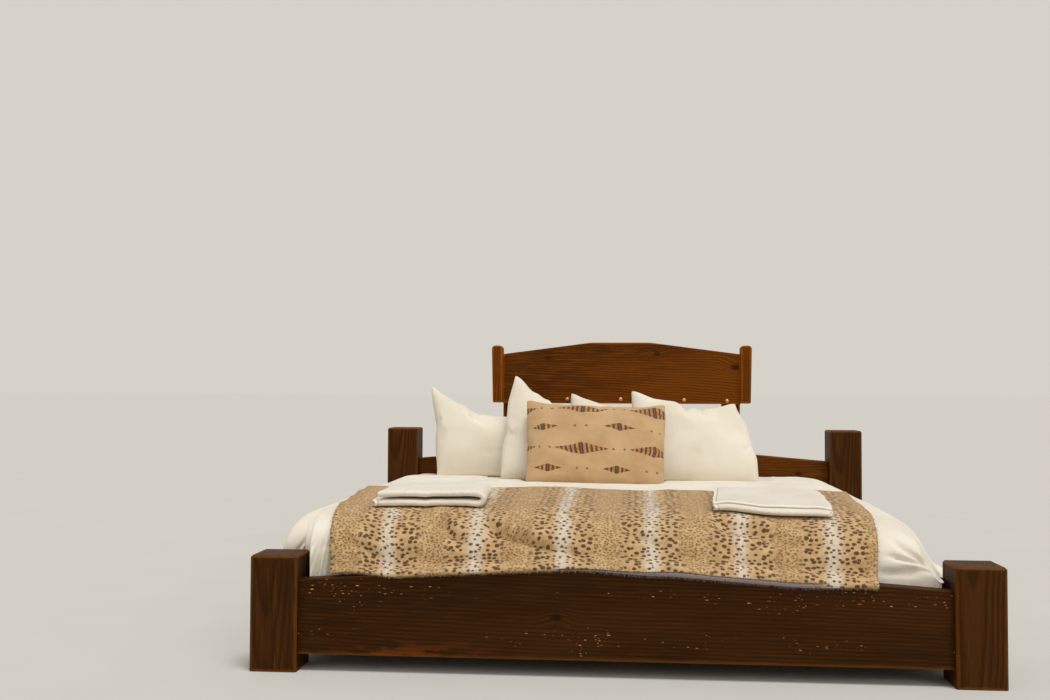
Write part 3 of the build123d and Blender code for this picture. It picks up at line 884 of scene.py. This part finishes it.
def make_fringe(edges):
    """Short tufts along the throw's four edges, each a slim closed cone."""
    bm = bmesh.new()
    for line, gap, strands in edges:
        count = round(length_of([place for place, _ in line]) / gap)
        for _ in range(count * strands):
            at = min(len(line) - 1.001, rng.random() * (len(line) - 1))
            first, share = int(at), at - int(at)
            place, outward = (line[first][i].lerp(line[first + 1][i], share) for i in range(2))
            stray = Vector(rng.uniform(-1, 1) for _ in range(3))
            heading = (outward + stray * 0.45 + Vector((0, 0, -0.25))).normalized()
            length = rng.uniform(0.006, 0.011)
            side = Vector(rng.uniform(-1, 1) for _ in range(3))
            root = place - outward * 0.003 + side * 0.0028
            turn = heading.to_track_quat("Z", "Y").to_matrix().to_4x4()
            bmesh.ops.create_cone(
                bm, cap_ends=True, segments=3, radius1=0.0009, radius2=0.0002, depth=length,
                matrix=Matrix.Translation(root + heading * length / 2) @ turn,
            )
    for vertex in bm.verts:
        vertex.co.y = max(vertex.co.y, throw_near - 0.004)
    return finished(bm, "throw_fringe", fringe_plush(), ())


def make_throw():
    """The throw laid along its path at every place across, then lifted by soft folds."""
    columns, rows = 160, 104
    (left, right), (rear_left, rear_right) = throw_corners
    paths = {}

    def spread(across, along):
        start = left + (rear_left - left) * along
        end = right + (rear_right - right) * along
        column = round(across * columns)
        if column not in paths:
            paths[column] = spaced(throw_path(left + (right - left) * across), rows)
        y, z = paths[column][round(along * rows)]
        return Vector((start + (end - start) * across, y, z))

    bm = cloth_grid(columns, rows, throw_size, spread)
    bmesh.ops.recalc_face_normals(bm, faces=bm.faces)
    bm.normal_update()
    if sum(face.normal.z for face in bm.faces) < 0:
        bmesh.ops.reverse_faces(bm, faces=bm.faces)
        bm.normal_update()

    def lifted(vertex):
        free = ease(rail_low.y + 0.02, rail_high.y + 0.03, vertex.co.y)
        flutter = 0.0035 * noise.noise(vertex.co * 24) * (1 - free)
        return vertex.co + vertex.normal * (throw_swell(*vertex.co) * free + max(0.0, flutter))

    moved(bm, lifted)
    bm.verts.ensure_lookup_table()
    wide = columns + 1
    runs = (
        ([(column, column + wide) for column in range(wide)], 0.003, 3),
        ([(row * wide, row * wide + 1) for row in range(rows + 1)], 0.004, 2),
        ([(row * wide + columns, row * wide + columns - 1) for row in range(rows + 1)], 0.004, 2),
        ([(rows * wide + column, (rows - 1) * wide + column) for column in range(wide)], 0.005, 2),
    )
    edges = []
    for run, gap, strands in runs:
        pairs = [(bm.verts[rim].co.copy(), bm.verts[inner].co.copy()) for rim, inner in run]
        edges.append(([(rim, (rim - inner).normalized()) for rim, inner in pairs], gap, strands))
    fringe = make_fringe(edges)
    piece = finished(bm, "spotted_throw", spotted_fur(), ("bed_throw",))
    modified(piece, "SOLIDIFY", thickness=2 * throw_half_thick, offset=0)
    return piece


throw = make_throw()


# Pillows: width, height, thickness, X, lean and roll in degrees, and distance from the back board.
# Then the top edge's rise from left to right, the left and the right edge's shift from the bottom
# up, and how far the top left and the top right corner stand out, across and up.
board_front = boxes["back_board"][0].y
level = ((-1, 0.0), (1, 0.0))
pillows = {
    "pillow_left_back": (
        (0.660, 0.430, 0.164, -0.590, 18, 1, 0.119),
        ((-1, 0.0), (-0.8, -0.028), (-0.55, -0.050), (-0.32, -0.087), (-0.04, -0.103), (0.3, -0.11),
         (1, -0.05)),
        (((-1, 0.041), (0.0, 0.016), (1, -0.014)), level),
        ((-0.006, 0.024), (0.0, 0.0)),
    ),
    "pillow_middle_back": (
        (0.570, 0.420, 0.164, 0.042, 18, 2, 0.101),
        ((-1, -0.018), (-0.75, -0.030), (-0.3, -0.044), (0.2, -0.052), (0.5, -0.062), (1, -0.115)),
        (((-1, 0.0), (1, -0.008)), ((-1, 0.0), (1, -0.03))),
        ((0.0, 0.010), (0.0, 0.0)),
    ),
    "pillow_left_front": (
        (0.610, 0.480, 0.160, -0.258, 26, 2, 0.284),
        ((-1, 0.0), (-0.85, -0.006), (-0.6, -0.030), (-0.38, -0.063), (-0.2, -0.082), (0.2, -0.11),
         (1, -0.135)),
        (((-1, 0.018), (-0.2, 0.012), (0.5, 0.018), (1, 0.03)), level),
        ((0.014, 0.052), (0.0, 0.0)),
    ),
    "pillow_right_front": (
        (0.610, 0.430, 0.160, 0.352, 26, 2, 0.284),
        ((-1, -0.004), (-0.3, -0.014), (0.12, -0.048), (0.2, -0.036), (0.29, -0.046), (1, -0.046)),
        (level, ((-1, -0.022), (-0.4, -0.026), (0.4, -0.062), (1, -0.118))),
        ((-0.004, 0.024), (-0.006, 0.018)),
    ),
    "lumbar_pillow": (
        (0.610, 0.410, 0.130, -0.125, 34, 2, 0.476),
        ((-1, 0.0), (-0.5, 0.004), (0.0, 0.004), (0.5, 0.002), (1, 0.0)),
        (((-1, 0.018), (1, -0.006)), ((-1, 0.018), (1, 0.022))),
        ((-0.006, 0.022), (-0.004, 0.022)),
    ),
}
first_fill = 0.55


def inflated(width, height, thickness):
    """A case of two sewn panels, stuffed as far as its first fill.

    Its faces are made one by one: an extrusion orders them differently in every run, and the cloth
    simulation then creases the case in other places.
    """
    seam = 0.004

    def spread(across, along):
        u, v = 2 * across - 1, 2 * along - 1
        return Vector((u * width / 2, 0.0, v * height / 2))

    bm = cloth_grid(44, 32, (width, height), spread)
    flat = bm.loops.layers.uv["cloth"]
    back = {vertex: bm.verts.new(vertex.co) for vertex in bm.verts[:]}
    panels = []
    for face in bm.faces:
        panels.append([(back[loop.vert], loop[flat].uv.copy()) for loop in reversed(face.loops)])
    for edge in bm.edges:
        if edge.is_boundary:
            ends = edge.link_loops[0], edge.link_loops[0].link_loop_next
            near, far = ((loop.vert, loop[flat].uv.copy()) for loop in ends)
            panels.append([far, near, (back[near[0]], near[1]), (back[far[0]], far[1])])
    for corners in panels:
        face = bm.faces.new([vertex for vertex, _ in corners])
        for loop, (_, place) in zip(face.loops, corners):
            loop[flat].uv = place
    for front, twin in back.items():
        u, v = front.co.x / width * 2, front.co.z / height * 2
        round_in = max(0.0, 1 - abs(u) ** 2.6) ** 0.55 * max(0.0, 1 - abs(v) ** 2.6) ** 0.55
        twin.co.y = seam + (thickness * first_fill / 2 - seam) * round_in
        front.co.y = -twin.co.y
    bmesh.ops.recalc_face_normals(bm, faces=bm.faces)
    return bm


def squared(places, flats, width, height, keep):
    """Draws a blown-up case's waisted sides back out towards straight ones."""
    rows, columns = {}, {}
    for place, (u, v) in zip(places, flats):
        rows.setdefault(v, []).append(place.x)
        columns.setdefault(u, []).append(place.z)
    made = []
    for place, (u, v) in zip(places, flats):
        left, right = min(rows[v]), max(rows[v])
        low, high = min(columns[u]), max(columns[u])
        x = ((place.x - left) / (right - left) - 0.5) * width
        z = ((place.z - low) / (high - low) - 0.5) * height
        rise = keep * ease(-0.35, 0.1, v)
        made.append(Vector((x + (place.x - x) * keep, place.y, z + (place.z - z) * rise)))
    return made


def make_pillow(name, material, keep, least_calm=0.0, lift=0.0):
    """A stuffed case: blown up, slumped along its top edge and leaned back on its seat."""
    (width, height, thickness, x, lean, roll, distance), top_line, side_lines, ears = pillows[name]
    piece = finished(inflated(width, height, thickness), name + "_case", material, (name,))
    points = piece.data.vertices
    flats = [(round(point.co.x / width, 4), round(point.co.z / height, 4)) for point in points]
    lens = [point.co.y / first_fill for point in points]
    settle(
        piece, 24, quality=6, mass=0.2, tension_stiffness=18, compression_stiffness=12,
        shear_stiffness=5, bending_stiffness=0.3, use_pressure=True, uniform_pressure_force=3.2,
    )
    places = squared([point.co.copy() for point in points], flats, width, height, keep)
    low = Vector(min(place[axis] for place in places) for axis in range(3))
    high = Vector(max(place[axis] for place in places) for axis in range(3))
    leaned = Matrix.Rotation(-math.radians(lean), 4, "X")
    turn = leaned @ Matrix.Rotation(math.radians(roll), 4, "Y")
    size = Vector((width, thickness * 0.98, height))
    made = []
    for place, (across, along), plain in zip(places, flats, lens):
        local = Vector(
            ((place[axis] - low[axis]) / (high[axis] - low[axis]) - 0.5) * size[axis]
            for axis in range(3)
        )
        u, v = local.x / width * 2, local.z / height * 2
        # Near the bottom and the side edges the case keeps its plain form
        calm = max(least_calm, 0.92 * ease(0.15, -0.5, along * 2))
        calm = max(calm, 0.6 * ease(0.7, 0.95, abs(across) * 2))
        local.z += lift * ease(0.2, -1.0, across * 2) * ease(0.4, -1.0, along * 2)
        local += (Vector((across * width, plain * 0.95, along * height)) - local) * calm
        sag = follow(top_line, u) * ease(-0.9, 1.0, v)
        local.z += sag
        share = ease(-1.0, 1.0, u)
        local.x += follow(side_lines[0], v) * (1 - share) + follow(side_lines[1], v) * share
        for sign, (out, up) in zip((-1, 1), ears):
            tip = ease(0.45, 1.0, sign * u) * ease(0.45, 1.0, v)
            local.x += out * tip ** 2
            local.z += up * tip ** 2
        local.y *= 1 + 0.5 * max(0.0, -sag) * (1 - abs(v))
        made.append(turn @ local)
    lowest = duvet_rest + 0.0005
    seat = lowest - min(place.z for place in made) - 0.012
    for point, place in zip(points, made):
        place = place + Vector((x, board_front - distance, seat))
        place.z = max(place.z, lowest + 0.0015 * noise.noise(place * 30))
        point.co = place
    modified(piece, "SUBSURF", levels=1, render_levels=1)


for node in ("pillow_left_back", "pillow_middle_back", "pillow_left_front", "pillow_right_front"):
    make_pillow(node, pillow_cotton, keep=0.34)


def printed_linen():
    """Tan linen with rows of barred brown and ochre lozenges in two sizes, and dots between."""
    finish = Finish("printed_linen")
    u, v, _ = finish.split(finish.place(source="UV"))
    row_pitch, run_pitch = 0.1, 0.305
    bleed = finish.grain(u * 160, v * 160) - 0.5
    row = (v - 0.008) / row_pitch
    line = row.math("FLOOR")
    rise = (row.math("FRACT") - 0.5) * row_pitch
    odd = (line * 0.5).math("FRACT") * 2
    place = ((u / run_pitch + 0.18 + line * 0.5).math("FRACT") - 0.5) * run_pitch
    far = (place + bleed * 0.004).size()
    wide = (0.062 + odd * 0.05 - far) * (0.3 - odd * 0.04)
    body = (wide - (rise + bleed * 0.003).size()).above(-0.0008, 0.0012)
    bars = ((far + bleed * 0.003) * 330).sine().above(-0.15, 0.4)
    tips = (far - odd * 0.05).above(0.04, 0.046)
    dots = (far - 0.13).size().below(0.003, 0.006) * rise.size().below(0.003, 0.006)
    thread = (u * 5200).sine() * (v * 5200).sine()
    slub = finish.grain(u * 40, v * 700)
    tone = finish.grain(u * 7, v * 9)
    colour = finish.mix(tone.above(0.3, 0.7), srgb(214, 178, 130), srgb(198, 158, 110))
    colour = finish.mix(slub.above(0.5, 0.75) * 0.25, colour, srgb(170, 128, 84))
    glow = finish.grain(u * 30, v * 60, 0.0, 2.0).above(0.35, 0.65)
    ochre = finish.mix(glow, srgb(206, 146, 78), srgb(170, 104, 44))
    colour = finish.mix(body * 0.92, colour, finish.mix(bars + tips, ochre, srgb(60, 42, 30)))
    colour = finish.mix(dots * 0.8, colour, srgb(96, 66, 42))
    relief = finish.bump(thread * 0.4 + slub * 0.5, 0.0008, 0.8)
    return finish.surface(Base_Color=colour, Roughness=0.88, Normal=relief, Sheen_Weight=0.15)


make_pillow("lumbar_pillow", printed_linen(), keep=0.12, least_calm=0.62,
            lift=0.024)


# Towels, folded on the throw
def top_of(piece):
    """The height of a piece's top: the highest under a point and six others round it."""
    points = [vertex.co for vertex in piece.data.vertices]
    tree = BVHTree.FromPolygons(points, [face.vertices for face in piece.data.polygons])

    def height(x, y, reach):
        spots = [(x + reach * math.cos(turn), y + reach * math.sin(turn)) for turn in range(6)]
        spots.append((x, y))
        found = [tree.ray_cast(Vector((*spot, 2.0)), Vector((0, 0, -1)))[0] for spot in spots]
        return max((hit.z for hit in found if hit), default=0.0)

    return height


throw_top = top_of(throw)
towel_ply = 0.0098
towel_pitch = 0.0108


def towel_terry(name, size, borders):
    """Terry loops, with a flat hem and its stitched line along the given edges."""
    finish = Finish(name)
    u, v, _ = finish.split(finish.place(source="UV"))
    here = finish.place()
    loops = finish.noise(here, 520.0, 2.0, 0.7)
    clumps = finish.noise(here, 110.0, 3.0, 0.6)
    slow = finish.noise(here, 6.0, 2.0)
    edge = 1.0
    for axis, far_end in borders:
        run = (u, v)[axis]
        away = (size[axis] - run) if far_end else run
        edge = away.math("MINIMUM", edge)
    flat = edge.below(0.011, 0.013)
    line = (edge - 0.0125).size().below(0.0008, 0.0022)
    colour = finish.mix(slow.above(0.35, 0.7), srgb(250, 243, 228), srgb(243, 234, 216))
    # Painted shade: the terry is darker where its loops and clumps sink, between them.
    colour = finish.mix(loops.below(0.35, 0.6) * 0.22 * (1 - flat), colour, srgb(206, 192, 166))
    colour = finish.mix(clumps.below(0.3, 0.55) * 0.16 * (1 - flat), colour, srgb(200, 186, 160))
    colour = finish.mix(line * 0.3, colour, srgb(186, 170, 144))
    height = (loops * 0.8 + clumps * 1.4) * (1 - flat * 0.8) - line * 1.2
    relief = finish.bump(height, 0.0026, 0.8)
    return finish.surface(
        Base_Color=colour, Roughness=0.92 - flat * 0.06, Normal=relief, Sheen_Weight=0.3,
        Sheen_Roughness=0.5, Specular_IOR_Level=0.15,
    )


def folded(length, layers, inset, puff):
    """Layers joined by round folds, as a line in run and rise: it starts at the far end."""
    line = []
    for layer in range(layers):
        near, far = towel_pitch * 0.6 + inset * (layer // 2), length - towel_pitch * 0.6
        ends = (near, far) if layer % 2 else (far, near)
        last = layer == layers - 1
        for step in range(25):
            run = ends[0] + (ends[1] - ends[0]) * step / 24
            lean = math.exp(-((run - ends[1]) / 0.035) ** 2) if not last else 0.0
            start = math.exp(-((run - ends[0]) / 0.035) ** 2) if layer else 0.0
            line.append((run, layer * towel_pitch + puff * (start - 0.3 * lean)))
        if not last:
            way = -1 if ends[1] == near else 1
            rise = towel_pitch + 1.3 * puff
            low = layer * towel_pitch - 0.3 * puff
            for step in range(1, 8):
                angle = math.pi * step / 8
                run = ends[1] + way * math.sin(angle) * rise * 0.62
                line.append((run, low + rise * (1 - math.cos(angle)) / 2))
    return line


def make_towel(name, turn, corner, along_fold, across_fold, borders):
    """A towel whose plies are folded front to back, and the bundle once more from the side."""
    count = 90
    along = spaced(along_fold, count, 2)
    across = spaced(across_fold, count, 2)
    size = (length_of(across), length_of(along))
    bundled = len(across_fold) > 2
    heights = [point.y for point in along]
    middle = (min(heights) + max(heights)) / 2 if bundled else 0.0
    along_deep = max(point.x for point in along)
    turned = Matrix.Translation((*corner, 0)) @ Matrix.Rotation(math.radians(turn), 4, "Z")

    def spread(share, reach):
        column = round(share * count)
        ply = along[round(reach * count)]
        run = (across[min(count, column + 1)] - across[max(0, column - 1)]).normalized()
        off = ply.y - middle
        x = across[column].x - run.y * off
        z = across[column].y + run.x * off
        soft = 0.0022 * noise.noise(Vector((x * 9, ply.x * 10, z * 26)))
        slump = 0.0035 * noise.noise(Vector((x * 4.5, ply.x * 5, turn)))
        drift = 0.007 * noise.noise(Vector((ply.x * 6, z * 40, turn + 2)))
        # Thinner towards the sides and the corners, fuller in the middle
        rim = 1.0 if bundled else min(1.0, min(share, 1 - share) / 0.14)
        near_end = max(0.0, 1 - min(ply.x, along_deep - ply.x) / 0.03) ** 2
        full = 0.74 + 0.32 * (1 - (1 - rim) ** 2 - 0.5 * near_end * (1 - rim))
        x += 0.012 * (0.5 - share) * 2 * near_end
        return Vector((x + drift, ply.x + soft, z * full + (soft + slump) * min(1.0, z / 0.03)))

    bm = cloth_grid(count, count, size, spread)
    bmesh.ops.transform(bm, matrix=turned, verts=bm.verts)
    lowest = min(vertex.co.z for vertex in bm.verts) - towel_ply / 2
    for vertex in bm.verts:
        vertex.co.z += throw_top(vertex.co.x, vertex.co.y, 0.028) - lowest + 0.0004
    material = towel_terry(name + "_terry", size, borders)
    piece = finished(bm, name + "_fold", material, (name,))
    modified(piece, "SOLIDIFY", thickness=towel_ply * 0.94, offset=0)
    modified(piece, "SUBSURF", levels=1, render_levels=1)


# The left towel lies in a fold whose round end, with a hollow in it, points to the right
bundle_low, bundle_high, bundle_end = 0.0125, 0.0405, 0.360
bundle = [(run, bundle_low) for run in (0.0, 0.12, 0.24, bundle_end - 0.03)]
for turn in range(-90, 91, 15):
    bend = math.radians(turn)
    bundle.append((bundle_end - 0.012 + 0.024 * math.cos(bend), 0.028 + 0.0165 * math.sin(bend)))
bundle += [(bundle_end - 0.05, 0.043), *((run, bundle_high) for run in (0.24, 0.12, 0.03))]
# A border is the axis of the flat towel that it is measured along and whether it is the far end
make_towel("towel_left", 3, (-0.812, duvet_low.y + 0.132), folded(0.298, 2, 0.0, 0.001),
           bundle, ((0, False), (1, False), (1, True)))
make_towel("towel_right", -5, (0.300, duvet_low.y + 0.128), folded(0.555, 3, 0.008, 0.004),
           [(0.0, 0.0), (0.376, 0.0)], ((0, False), (1, True)))


# Bolts through the headboard's lower edge
def hammered_copper():
    """Pale tarnished copper with small dents."""
    finish = Finish("bolt_copper")
    dents = finish.noise(finish.place(), 380.0, 2.0)
    tarnish = finish.noise(finish.place(), 120.0)
    colour = finish.mix(tarnish.above(0.4, 0.7), srgb(236, 168, 128), srgb(186, 112, 74))
    return finish.surface(
        Base_Color=colour, Metallic=0.85, Roughness=0.34 + tarnish * 0.2,
        Normal=finish.bump(dents, 0.0006, 0.7),
    )


def make_bolts():
    """Four domed heads with flat fronts."""
    bm = bmesh.new()
    face = boxes["headboard_panel"][0].y
    for x, z in ((-0.262, 0.834), (0.0, 0.835), (0.310, 0.832), (0.518, 0.829)):
        dome = bmesh.ops.create_uvsphere(bm, u_segments=20, v_segments=10, radius=0.0102)["verts"]
        for vertex in dome:
            vertex.co.y = max(-0.0058, min(0.0, vertex.co.y * 0.62))
        bmesh.ops.translate(bm, verts=dome, vec=(x, face + 0.0002, z))
    finished(bm, "headboard_bolts", hammered_copper(), ())


make_bolts()
